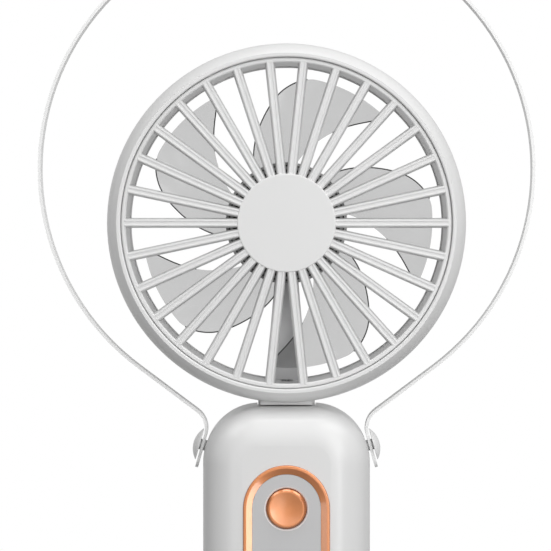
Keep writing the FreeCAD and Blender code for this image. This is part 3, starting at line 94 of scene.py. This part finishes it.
class Finish:
    """A procedural material: constants on the shader's own sockets, detail through nodes."""

    def __init__(self, name, **sockets):
        self.name = name
        self.material = bpy.data.materials.new(name)
        self.material.use_nodes = True
        self.tree = self.material.node_tree
        self.shader = self.tree.nodes["Principled BSDF"]
        for socket, value in sockets.items():
            self.shader.inputs[socket.replace("_", " ")].default_value = value
        self.place = self.tree.nodes.new("ShaderNodeTexCoord").outputs["Object"]
        self.base = None
        self.normal = None

    def add(self, kind, **values):
        node = self.tree.nodes.new(kind)
        for key, value in values.items():
            setattr(node, key, value)
        return node

    def link(self, source, target):
        self.tree.links.new(source, target)

    def stretched(self, scale, shift=(0, 0, 0)):
        """Object coordinates moved, then scaled along each axis."""
        mapping = self.add("ShaderNodeMapping")
        self.link(self.place, mapping.inputs["Vector"])
        mapping.inputs["Location"].default_value = tuple(-s * k for s, k in zip(shift, scale))
        mapping.inputs["Scale"].default_value = scale
        return mapping.outputs["Vector"]

    def distance(self, centre):
        """Distance from the line along Y through a centre."""
        length = self.add("ShaderNodeVectorMath", operation="LENGTH")
        self.link(self.stretched((1.0, 0.0, 1.0), centre), length.inputs[0])
        return length.outputs["Value"]

    def noise(self, size, detail, vector=None):
        """Noise whose features are about a size in metres across."""
        node = self.add("ShaderNodeTexNoise")
        node.inputs["Scale"].default_value = 1.0 / size
        node.inputs["Detail"].default_value = detail
        self.link(vector or self.place, node.inputs["Vector"])
        return node.outputs["Fac"]

    def colour(self, source, first, second, low_in=0.35, high_in=0.65):
        """Base colour from one tone to another as a value rises."""
        ramp = self.add("ShaderNodeValToRGB")
        stops = ramp.color_ramp.elements
        stops[0].position, stops[1].position = low_in, high_in
        stops[0].color = (*first, 1.0)
        stops[1].color = (*second, 1.0)
        self.link(source, ramp.inputs["Fac"])
        self.base = ramp.outputs["Color"]
        self.link(self.base, self.shader.inputs["Base Color"])

    def tinted(self, amount, tone):
        """Base colour that goes from the one before to a plain tone as an amount rises."""
        node = self.add("ShaderNodeMix", data_type="RGBA")
        self.link(amount, node.inputs["Factor"])
        self.link(self.base, node.inputs[MIX_FIRST])
        node.inputs[MIX_SECOND].default_value = (*tone, 1.0)
        self.link(node.outputs[MIX_RESULT], self.shader.inputs["Base Color"])

    def rough(self, source, low, high):
        """Roughness from low to high as a value crosses the middle of its range."""
        node = self.add("ShaderNodeMapRange")
        node.inputs["From Min"].default_value, node.inputs["From Max"].default_value = NOISE_RANGE
        node.inputs["To Min"].default_value = low
        node.inputs["To Max"].default_value = high
        self.link(source, node.inputs["Value"])
        self.link(node.outputs["Result"], self.shader.inputs["Roughness"])

    def bump(self, source, height):
        """Adds relief of about a height in metres on top of any relief before it."""
        node = self.add("ShaderNodeBump")
        node.inputs["Distance"].default_value = height
        node.inputs["Strength"].default_value = 1.0
        self.link(source, node.inputs["Height"])
        if self.normal is not None:
            self.link(self.normal, node.inputs["Normal"])
        self.normal = node.outputs["Normal"]
        self.link(self.normal, self.shader.inputs["Normal"])

    def maths(self, operation, source, number):
        node = self.add("ShaderNodeMath", operation=operation)
        self.link(source, node.inputs[0])
        node.inputs[1].default_value = number
        return node.outputs["Value"]


def moulded(name, tone, second_tone, rough, grain=0.35 * MM, grain_height=0.004 * MM, **sockets):
    """Moulded plastic: a fine grain, faint long waves from cooling, a slight drift of tone."""
    finish = Finish(name, **sockets)
    finish.colour(finish.noise(WAVE_SIZE, 2.0), tone, second_tone)
    finish.rough(finish.noise(GLOSS_PATCH, 2.0), *rough)
    finish.bump(finish.noise(WAVE_SIZE, 0.0), WAVE_HEIGHT)
    finish.bump(finish.noise(grain, 2.0), grain_height)
    return finish


def turned_metal(name, tone, second_tone, centre, rough=(0.22, 0.34), **sockets):
    """Metal with fine lathe rings about the line along Y through a centre."""
    finish = Finish(name, Metallic=1.0, **sockets)
    rings = finish.add("ShaderNodeTexNoise", noise_dimensions="1D")
    rings.inputs["Scale"].default_value = 1.0 / (0.12 * MM)
    rings.inputs["Detail"].default_value = 3.0
    finish.link(finish.distance(centre), rings.inputs["W"])
    finish.colour(finish.noise(4 * MM, 3.0), tone, second_tone)
    finish.rough(rings.outputs["Fac"], *rough)
    finish.bump(rings.outputs["Fac"], 0.0015 * MM)
    return finish


def brushed_metal(name, tone, second_tone, along):
    """Metal with fine scratches along one of the axes above."""
    finish = Finish(name, Metallic=1.0)
    scale = tuple(0.03 if number == along else 1.0 for number in range(3))
    lines = finish.noise(0.2 * MM, 4.0, finish.stretched(scale))
    finish.colour(finish.noise(3 * MM, 3.0), tone, second_tone)
    finish.rough(lines, 0.25, 0.4)
    finish.bump(lines, 0.002 * MM)
    return finish


def white_plastic(name, tone=0.83, rough=(0.29, 0.33)):
    """The fan's glossy white plastic, with a thin clear coat."""
    first = (tone, tone, tone * 0.998)
    second = (tone * 0.99, tone * 0.99, tone * 0.986)
    return moulded(name, first, second, rough, grain_height=0.0015 * MM,
                   Coat_Weight=0.25, Coat_Roughness=0.14)


def smoke_plastic():
    """Tinted see-through blades with faint flow lines from the mould."""
    finish = Finish("smoke_blade", Alpha=0.27, IOR=1.49, Coat_Weight=0.3, Coat_Roughness=0.08)
    flow = finish.noise(6 * MM, 3.0, finish.stretched((1.0, 3.0, 1.0)))
    finish.colour(flow, (0.16, 0.16, 0.162), (0.20, 0.20, 0.202))
    finish.rough(finish.noise(3 * MM, 3.0), 0.18, 0.28)
    finish.bump(finish.noise(10 * MM, 2.0), 0.02 * MM)
    return finish


def impeller_hub():
    """The hub's face with painted light: painted shade under the bars' inner ends, a pale step of
    painted highlight and a dark rim of painted shade.
    """
    finish = Finish("impeller_hub", Specular_IOR_Level=0.15)
    ramp = finish.add("ShaderNodeValToRGB")
    stops = ramp.color_ramp.elements
    stops[0].position, stops[0].color = 0.0, (*HUB_PAINTED_SHADE, 1.0)
    stops[1].position, stops[1].color = 1.0, (*HUB_PAINTED_SHADE, 1.0)
    for radius, tone in HUB_PAINTED_LIGHT_TONES:
        stop = stops.new(radius / HUB_SPAN)
        stop.color = (*tone, 1.0)
    share = finish.maths("DIVIDE", finish.distance(fan_axis), HUB_SPAN)
    finish.link(share, ramp.inputs["Fac"])
    finish.link(ramp.outputs["Color"], finish.shader.inputs["Base Color"])
    finish.rough(finish.noise(2 * MM, 3.0), 0.55, 0.7)
    finish.bump(finish.noise(0.4 * MM, 2.0), 0.006 * MM)
    return finish


def panel_with_painted_highlight():
    """Grey panel whose button hole has a white edge: a painted highlight for the light caught on
    the hole's edge.
    """
    finish = moulded("panel_grey", PANEL_GREY, PANEL_LIGHT, (0.42, 0.5))
    highlight_mask = finish.maths("LESS_THAN", finish.distance(button_centre), HOLE_HIGHLIGHT_RADIUS)
    finish.tinted(highlight_mask, HOLE_PAINTED_HIGHLIGHT)
    return finish


def rubberised(name, tone, second_tone):
    """A lead's matt, slightly rough cover."""
    return moulded(name, tone, second_tone, rough=(0.5, 0.65), grain=0.25 * MM,
                   grain_height=0.01 * MM)


def solder_mask():
    """Green board with lighter copper tracks under the mask."""
    finish = Finish("solder_mask", IOR=1.5, Coat_Weight=0.6, Coat_Roughness=0.1)
    tracks = finish.add("ShaderNodeTexBrick")
    finish.link(finish.place, tracks.inputs["Vector"])
    tracks.inputs["Scale"].default_value = 260.0
    tracks.inputs["Mortar Size"].default_value = 0.035
    tracks.inputs["Color1"].default_value = (0.012, 0.10, 0.045, 1.0)
    tracks.inputs["Color2"].default_value = (0.014, 0.12, 0.055, 1.0)
    tracks.inputs["Mortar"].default_value = (0.03, 0.2, 0.09, 1.0)
    finish.link(tracks.outputs["Color"], finish.shader.inputs["Base Color"])
    finish.rough(finish.noise(2 * MM, 3.0), 0.25, 0.4)
    finish.bump(tracks.outputs["Fac"], 0.03 * MM)
    return finish


def laminated():
    """A stack of punched steel sheets: fine dark lines across the fan axis."""
    finish = Finish("lamination", Metallic=1.0)
    wave = finish.add("ShaderNodeTexWave", wave_type="BANDS", bands_direction="Y")
    wave.inputs["Scale"].default_value = 320.0
    wave.inputs["Distortion"].default_value = 0.4
    finish.link(finish.place, wave.inputs["Vector"])
    finish.colour(wave.outputs["Fac"], (0.12, 0.12, 0.125), (0.42, 0.42, 0.43), 0.1, 0.4)
    finish.rough(finish.noise(1 * MM, 3.0), 0.35, 0.5)
    finish.bump(wave.outputs["Fac"], 0.04 * MM)
    return finish


def wound_wire():
    """Enamelled copper wire, one turn beside another."""
    finish = Finish("winding", Metallic=1.0, Coat_Weight=0.7, Coat_Roughness=0.15)
    wave = finish.add("ShaderNodeTexWave", wave_type="BANDS", bands_direction="DIAGONAL")
    wave.inputs["Scale"].default_value = 900.0
    wave.inputs["Distortion"].default_value = 1.0
    finish.link(finish.place, wave.inputs["Vector"])
    finish.colour(wave.outputs["Fac"], (0.28, 0.09, 0.03), (0.8, 0.35, 0.14), 0.05, 0.6)
    finish.rough(finish.noise(1 * MM, 2.0), 0.2, 0.35)
    finish.bump(wave.outputs["Fac"], 0.08 * MM)
    return finish


def cell_film():
    """Shrink film over the cell, with faint wrinkles round it."""
    finish = Finish("cell_film", Coat_Weight=0.5, Coat_Roughness=0.08)
    wrinkle = finish.noise(2 * MM, 4.0, finish.stretched((1.0, 1.0, 0.15)))
    finish.colour(finish.noise(10 * MM, 2.0), (0.02, 0.10, 0.32), (0.025, 0.13, 0.38))
    finish.rough(wrinkle, 0.2, 0.4)
    finish.bump(wrinkle, 0.03 * MM)
    return finish


def clear_guide():
    """Frosted clear plastic that carries the lights to the panel."""
    finish = Finish("light_guide", Alpha=0.75, IOR=1.49, Coat_Weight=0.5, Coat_Roughness=0.05)
    finish.colour(finish.noise(2 * MM, 3.0), (0.72, 0.75, 0.78), (0.82, 0.84, 0.86))
    finish.rough(finish.noise(0.6 * MM, 3.0), 0.15, 0.35)
    finish.bump(finish.noise(0.4 * MM, 2.0), 0.01 * MM)
    return finish


def light_chip():
    """The pale yellow phosphor of a light chip."""
    finish = Finish("led_chip")
    finish.colour(finish.noise(0.4 * MM, 3.0), (0.85, 0.75, 0.2), (0.95, 0.9, 0.55))
    finish.rough(finish.noise(0.5 * MM, 2.0), 0.3, 0.5)
    finish.bump(finish.noise(0.3 * MM, 2.0), 0.02 * MM)
    return finish


def copper_paint():
    """Anodised rose-copper trim: fine sparkle in a satin metallic layer."""
    finish = Finish("copper_trim", Metallic=1.0, Coat_Weight=1.0, Coat_Roughness=0.1,
                    Coat_IOR=COPPER_COAT_IOR)
    finish.colour(finish.noise(0.18 * MM, 2.0), COPPER_DARK, COPPER_LIGHT)
    finish.rough(finish.noise(1.5 * MM, 3.0), 0.4, 0.46)
    finish.bump(finish.noise(0.15 * MM, 2.0), 0.0008 * MM)
    return finish


FINISHES = {finish.name: finish for finish in (
    white_plastic("shell_white"),
    white_plastic("ring_white"),
    white_plastic("grille_white"),
    moulded("band_white", (0.95, 0.95, 0.948), (0.94, 0.94, 0.936), (0.46, 0.52),
            grain=1.2 * MM, grain_height=0.0008 * MM),
    white_plastic("stud_white", 0.93),
    white_plastic("neck_white", 0.78, (0.38, 0.46)),
    panel_with_painted_highlight(),
    moulded("duct_grey", (0.74, 0.74, 0.745), (0.77, 0.77, 0.775), (0.4, 0.5)),
    smoke_plastic(),
    impeller_hub(),
    # Painted shade: near-black for the beads along the blades' leading edges.
    moulded("blade_edge_painted_shade", (0.03, 0.03, 0.03), (0.05, 0.05, 0.05), (0.25, 0.35)),
    copper_paint(),
    turned_metal("copper_button", COPPER_DARK, COPPER_LIGHT, button_centre, (0.34, 0.42),
                 Coat_Weight=1.0, Coat_Roughness=0.12, Coat_IOR=COPPER_COAT_IOR),
    turned_metal("steel_y", (0.5, 0.5, 0.51), (0.6, 0.6, 0.61), fan_axis),
    brushed_metal("steel_x", (0.5, 0.5, 0.51), (0.62, 0.62, 0.63), X_AXIS),
    brushed_metal("screw_steel", (0.42, 0.42, 0.43), (0.6, 0.6, 0.61), Y_AXIS),
    brushed_metal("nickel", (0.6, 0.57, 0.5), (0.7, 0.67, 0.6), Z_AXIS),
    turned_metal("brass", (0.62, 0.43, 0.17), (0.74, 0.54, 0.24), fan_axis),
    moulded("magnet", (0.03, 0.03, 0.032), (0.05, 0.05, 0.052), (0.5, 0.65)),
    laminated(),
    wound_wire(),
    solder_mask(),
    moulded("black_plastic", (0.012, 0.012, 0.013), (0.02, 0.02, 0.021), (0.4, 0.5)),
    cell_film(),
    rubberised("lead_grey", (0.50, 0.50, 0.505), (0.55, 0.55, 0.555)),
    clear_guide(),
    light_chip(),
)}

NODE_FINISHES = {
    "shell_white": ("front_shell", "back_shell"),
    "ring_white": ("front_housing", "rear_housing"),
    "grille_white": ("front_grille", "rear_grille", "rear_cap"),
    "stud_white": ("stud_left", "stud_right"),
    "band_white": ("carry_loop",),
    "neck_white": ("hinge_knuckle",),
    "panel_grey": ("face_panel",),
    "duct_grey": ("wire_duct",),
    "smoke_blade": ("impeller",),
    "copper_trim": ("trim_frame",),
    "copper_button": ("power_button",),
    "steel_y": ("motor_shaft", "shaft_clip", "front_bearing", "rear_bearing", "rotor_cup"),
    "steel_x": ("hinge_pin", "friction_washers"),
    "screw_steel": ("board_screws", "motor_screws", "ring_screws", "knuckle_screws",
                    "bracket_screws", "shell_screws", "usb_socket"),
    "nickel": ("battery_tabs",),
    "brass": ("motor_base",),
    "magnet": ("rotor_magnet",),
    "lamination": ("stator_core",),
    "winding": ("stator_windings",),
    "solder_mask": ("main_board", "motor_board", "charge_board"),
    "black_plastic": ("switch_body", "switch_plunger", "hinge_bracket", "battery_cradle"),
    "cell_film": ("battery_cell",),
    "lead_grey": ("head_lead", "handle_lead", "charge_lead"),
    "light_guide": ("light_guides",),
    "led_chip": ("indicator_leds",),
}


def paint(thing, *finishes):
    """Puts the named finishes in an object's material slots, in order."""
    thing.data.materials.clear()
    for finish in finishes:
        thing.data.materials.append(FINISHES[finish].material)


for finish, names in NODE_FINISHES.items():
    for name in names:
        paint(nodes[name], finish)


# ---------------------------------------------------------------- impeller

# Faces nearer the axis than the first belong to the hub; edges past the second to a blade.
HUB_LIMIT = 16.1 * MM
BLADE_START = 16.2 * MM
EDGE_BEAD = 0.17 * MM
SAME_POINT = 0.001 * MM

# How a face's normal leans: upright if its Y is below the first, and towards the front, round
# the axis or in to the axis if it is past the others.
UPRIGHT = 0.05
TO_FRONT = -0.5
ROUND_AXIS = 0.25
TO_AXIS = -0.6


def fan_polar(point):
    """Distance from the fan axis, and the unit directions outwards and round it."""
    x, z = point.x - fan_axis[0], point.z - fan_axis[2]
    radius = math.hypot(x, z)
    return radius, Vector((x, 0, z)) / radius, Vector((-z, 0, x)) / radius


def make_impeller():
    """The impeller with painted shade and highlight on its hub, and painted shade along the
    blades' leading edges.
    """
    mesh = nodes["impeller"].data.copy()
    impeller = bpy.data.objects.new("impeller_finished", mesh)
    scene.collection.objects.link(impeller)
    # The hub's faces get the painted shade and highlight; the blades keep the tinted plastic.
    paint(impeller, "smoke_blade", "impeller_hub")
    for face in mesh.polygons:
        radius = math.hypot(face.center.x - fan_axis[0], face.center.z - fan_axis[2])
        face.material_index = 1 if radius < HUB_LIMIT else 0
    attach(impeller, "impeller")
    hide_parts("impeller")
    make_blade_edge_shade(mesh)


def leading_runs(mesh):
    """Lines of points along the edge between each blade's front and its leading side."""
    form = bmesh.new()
    form.from_mesh(mesh)
    bmesh.ops.remove_doubles(form, verts=form.verts, dist=SAME_POINT)
    form.normal_update()
    links = {}
    for edge in form.edges:
        if len(edge.link_faces) != 2:
            continue
        middle = (edge.verts[0].co + edge.verts[1].co) / 2
        radius, outward, around = fan_polar(middle)
        if radius < BLADE_START:
            continue
        side, front = sorted(edge.link_faces, key=lambda face: abs(face.normal.y))
        corner = abs(side.normal.y) < UPRIGHT and front.normal.y < TO_FRONT
        leads = side.normal.dot(around) > ROUND_AXIS or side.normal.dot(outward) < TO_AXIS
        if corner and leads:
            first, second = edge.verts
            links.setdefault(first.index, set()).add(second.index)
            links.setdefault(second.index, set()).add(first.index)
    places = {vert.index: vert.co.copy() for vert in form.verts}
    form.free()
    return joined(links, places)


def joined(links, places):
    """Lines of more than three places, from the links between their numbers."""
    runs = []
    waiting = set(links)
    while waiting:
        ends = [index for index in waiting if len(links[index] & waiting) <= 1]
        here = min(ends) if ends else min(waiting)
        run = []
        while here is not None:
            run.append(places[here])
            waiting.discard(here)
            here = min(links[here] & waiting, default=None)
        if len(run) > 3:
            runs.append(run)
    return runs


def make_blade_edge_shade(mesh):
    """A thin dark bead along each blade's leading edge: painted shade for the dark look of the
    tinted blade's thick edge.
    """
    curve = bpy.data.curves.new("blade_edge_shade_beads", "CURVE")
    curve.dimensions = "3D"
    curve.bevel_depth = EDGE_BEAD
    curve.bevel_resolution = 2
    curve.use_fill_caps = True
    for run in leading_runs(mesh):
        spline = curve.splines.new("POLY")
        spline.points.add(len(run) - 1)
        for point, place in zip(spline.points, run):
            point.co = (*place, 1.0)
    edges = bpy.data.objects.new("blade_edge_shade_beads", curve)
    scene.collection.objects.link(edges)
    paint(edges, "blade_edge_painted_shade")
    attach(edges, "impeller")


make_impeller()


# ---------------------------------------------------------------- floor, light and camera

FLOOR_RADIUS = 0.45
FLOOR_GAP = 0.3 * MM

# Where the soft boxes point, and how far away they stand, in metres.
LIGHT_TARGET = Vector((0, 0, 0.15))
LIGHT_DISTANCE = 0.9

BACKDROP_SIZE = 1.6
BACKDROP_POWER = 2.6
BACKDROP_PLACE = (0, 0.7, 0.35)
ROOM_STRENGTH = 0.23

SENSOR_WIDTH = 36.0
CAMERA_LENS = 148.2
CAMERA_SHIFT = (-0.0200, -0.0954)
CAMERA_PLACE = (0, -630 * MM, 162.5 * MM)

# Name, azimuth and elevation in degrees, power in watts, width and height in metres.
SOFT_BOXES = (
    ("key", 35, 50, 0.5, 0.45, 0.45),
    ("overhead", 0, 85, 1.6, 0.45, 0.45),
    ("front", 15, 28, 3.1, 1.2, 1.2),
    ("front_low", 12, -8, 0.32, 0.34, 0.34),
    ("right_low", 35, 15, 1.3, 0.45, 0.45),
    ("right_glow", 27, -14, 1.45, 0.2, 0.6),
    ("right_side", 70, 50, 1.4, 0.45, 0.45),
    ("left_low", -28, -6, 0.38, 0.3, 0.3),
    ("left_high", -65, 45, 1.3, 0.45, 0.45),
    ("button_glow", 11, -7, 0.12, 0.12, 0.12),
)


def make_floor():
    """A pale round table top under the handle's foot, which throws no light back up."""
    bpy.ops.mesh.primitive_circle_add(vertices=128, radius=FLOOR_RADIUS, fill_type="NGON",
                                      location=(0, 0, -FLOOR_GAP))
    floor = bpy.context.object
    floor.name = "floor"
    finish = Finish("floor_paint", Roughness=0.7)
    finish.colour(finish.noise(50 * MM, 3.0), (0.76, 0.76, 0.76), (0.78, 0.78, 0.78))
    finish.bump(finish.noise(2 * MM, 2.0), 0.02 * MM)
    floor.data.materials.append(finish.material)
    floor.visible_diffuse = False
    floor.visible_glossy = False


def soft_box(name, azimuth, elevation, power, width, height):
    """A soft light on the object; azimuth 0 is in front of it, 90 on its right."""
    light = bpy.data.lights.new(name, "AREA")
    light.shape = "RECTANGLE"
    light.size, light.size_y = width, height
    light.energy = power
    thing = bpy.data.objects.new(name, light)
    scene.collection.objects.link(thing)
    turn, tilt = math.radians(azimuth), math.radians(elevation)
    away = Vector((math.sin(turn) * math.cos(tilt), -math.cos(turn) * math.cos(tilt),
                   math.sin(tilt)))
    thing.location = LIGHT_TARGET + away * LIGHT_DISTANCE
    thing.rotation_euler = away.to_track_quat("Z", "Y").to_euler()
    thing.visible_camera = False


def make_backdrop():
    """A wide white glow behind the object that lights its rim; the camera doesn't see it."""
    light = bpy.data.lights.new("backdrop", "AREA")
    light.size = BACKDROP_SIZE
    light.energy = BACKDROP_POWER
    thing = bpy.data.objects.new("backdrop", light)
    scene.collection.objects.link(thing)
    thing.location = BACKDROP_PLACE
    thing.rotation_euler = (math.radians(-90), 0, 0)
    thing.visible_camera = False


def make_world():
    """Pure white behind the object, and a softer, dimmer room as its light."""
    world = bpy.data.worlds.new("studio")
    scene.world = world
    world.use_nodes = True
    tree = world.node_tree
    tree.nodes.clear()
    output = tree.nodes.new("ShaderNodeOutputWorld")
    mix = tree.nodes.new("ShaderNodeMixShader")
    path = tree.nodes.new("ShaderNodeLightPath")
    room = tree.nodes.new("ShaderNodeBackground")
    seen = tree.nodes.new("ShaderNodeBackground")
    room.inputs["Color"].default_value = (1, 1, 1, 1)
    room.inputs["Strength"].default_value = ROOM_STRENGTH
    seen.inputs["Color"].default_value = (1, 1, 1, 1)
    seen.inputs["Strength"].default_value = 1.0
    tree.links.new(path.outputs["Is Camera Ray"], mix.inputs["Fac"])
    tree.links.new(room.outputs["Background"], mix.inputs[1])
    tree.links.new(seen.outputs["Background"], mix.inputs[2])
    tree.links.new(mix.outputs["Shader"], output.inputs["Surface"])


def make_camera():
    """Level with the fan axis, looking straight along +Y; the shift brings the handle in."""
    camera = bpy.data.cameras.new("camera")
    camera.sensor_width = SENSOR_WIDTH
    camera.lens = CAMERA_LENS
    camera.clip_start = 0.05
    camera.shift_x, camera.shift_y = CAMERA_SHIFT
    thing = bpy.data.objects.new("camera", camera)
    scene.collection.objects.link(thing)
    thing.location = CAMERA_PLACE
    thing.rotation_euler = (math.radians(90), 0, 0)
    scene.camera = thing


make_floor()
make_world()
make_backdrop()
for box in SOFT_BOXES:
    soft_box(*box)
make_camera()
scene.view_settings.view_transform = "Standard"
